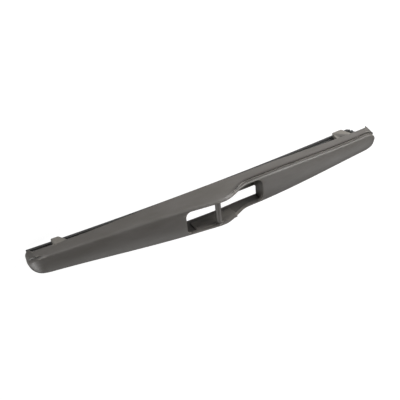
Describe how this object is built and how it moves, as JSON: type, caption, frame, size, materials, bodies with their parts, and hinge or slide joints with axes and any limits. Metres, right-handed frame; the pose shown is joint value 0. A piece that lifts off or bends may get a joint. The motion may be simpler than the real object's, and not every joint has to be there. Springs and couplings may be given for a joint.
{
  "type": "wiper blade",
  "caption": "Rear wiper blade: a one-piece moulded carrier with a cross pin in an open arm window, holding a rubber wiping element stiffened by steel strips.",
  "frame": {"origin": "middle of the cross pin's axis, between the two side walls", "axes": "+X along the blade towards the low half of the carrier, +Y along the cross pin, +Z away from the glass"},
  "size_m": [0.306, 0.0286, 0.0438],
  "materials": {
    "carrier_plastic": "fine moulded grain, satin",
    "wiper_rubber": "extruded, matte",
    "strip_steel": "cold-rolled spring strip"
  },
  "bodies": {
    "root": {"carrier": "carrier_plastic", "rubber_element": "wiper_rubber", "steel_strip_left": "strip_steel", "steel_strip_right": "strip_steel"}
  },
  "joints": []
}
